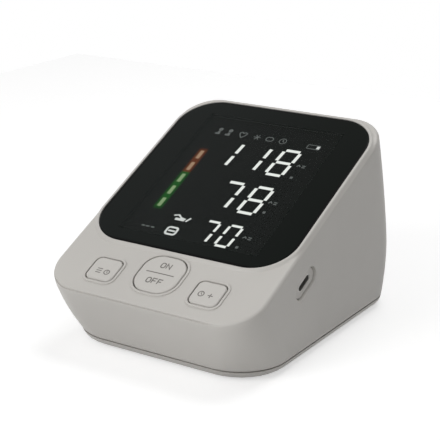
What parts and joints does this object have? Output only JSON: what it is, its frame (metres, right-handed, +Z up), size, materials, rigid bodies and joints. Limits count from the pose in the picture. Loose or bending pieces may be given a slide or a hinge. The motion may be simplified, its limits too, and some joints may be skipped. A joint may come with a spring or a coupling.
{
  "type": "upper arm blood pressure monitor",
  "caption": "Wedge-shaped desk unit of an upper arm blood pressure monitor: sloped display lens, front keys, side charging socket, cuff air socket and a battery bay with a hinged door.",
  "frame": {"origin": "middle of the footprint at the level of the feet", "axes": "+X to the right of a person facing the display, +Y to the rear, +Z up"},
  "size_m": [0.0968, 0.1244, 0.0817],
  "materials": {
    "housing_plastic": "fine satin moulded plastic, warm light grey",
    "base_plastic": "fine satin moulded plastic, light grey",
    "lens_black": "polished smoked acrylic",
    "module_black": "matt black moulded plastic",
    "figure_white": "lit white light pipe",
    "figure_dark": "unlit light pipe",
    "level_green": "lit green light pipe",
    "level_amber": "lit amber light pipe",
    "board_green": "circuit board with solder mask",
    "chip_black": "moulded chip package",
    "plug_white": "natural white nylon",
    "key_plastic": "fine satin moulded plastic, warm light grey",
    "steel": "plated steel",
    "socket_plastic": "grey moulded plastic",
    "cell_jacket": "printed foil jacket on a metal can",
    "motor_can": "drawn metal can",
    "hose_silicone": "translucent silicone",
    "foot_rubber": "soft grey rubber",
    "lead_red": "red flexible lead insulation",
    "lead_black": "black flexible lead insulation"
  },
  "bodies": {
    "housing": {"upper_housing": "housing_plastic", "base_cover": "base_plastic", "lens_panel": "lens_black", "display_module": "module_black", "lit_figures": "figure_white", "unlit_figures": "figure_dark", "level_bar_green": "level_green", "level_bar_amber": "level_amber", "main_board": "board_green", "board_parts": "chip_black", "board_plugs": "plug_white", "key_switches": "chip_black", "pressure_sensor": "plug_white", "usb_shell": "steel", "usb_tongue": "chip_black", "air_socket": "socket_plastic", "air_socket_nut": "module_black", "battery_cells": "cell_jacket", "battery_plates": "steel", "battery_springs": "steel", "pump_motor": "motor_can", "pump_head": "module_black", "pump_cap": "plug_white", "pump_sleeves": "foot_rubber", "pump_strap": "socket_plastic", "strap_screws": "steel", "exhaust_valve": "steel", "hose_joint": "plug_white", "hose_to_socket": "hose_silicone", "hose_to_pump": "hose_silicone", "hose_to_valve": "hose_silicone", "hose_to_sensor": "hose_silicone", "speaker": "steel", "rubber_feet": "foot_rubber", "housing_screws": "steel", "board_screws": "steel", "lens_tape": "module_black", "battery_leads": "lead_red", "motor_leads": "lead_red", "speaker_leads": "lead_black"},
    "left_key": {"key_left": "key_plastic"},
    "middle_key": {"key_middle": "key_plastic"},
    "right_key": {"key_right": "key_plastic"},
    "door": {"battery_door": "base_plastic"}
  },
  "joints": [
    {"name": "left_key_press", "type": "slide", "parent": "housing", "child": "left_key", "axis": [0, 0.4305, -0.9026], "range_m": [0, 0.0008], "stiffness_N_per_m": 900, "springref_m": -0.0006},
    {"name": "middle_key_press", "type": "slide", "parent": "housing", "child": "middle_key", "axis": [0, 0.4305, -0.9026], "range_m": [0, 0.0008], "stiffness_N_per_m": 900, "springref_m": -0.0006},
    {"name": "right_key_press", "type": "slide", "parent": "housing", "child": "right_key", "axis": [0, 0.4305, -0.9026], "range_m": [0, 0.0008], "stiffness_N_per_m": 900, "springref_m": -0.0006},
    {"name": "battery_door_hinge", "type": "hinge", "parent": "housing", "child": "door", "pos_m": [0, -0.0136, 0.0028], "axis": [-1, 0, 0], "range_deg": [0, 90]}
  ]
}
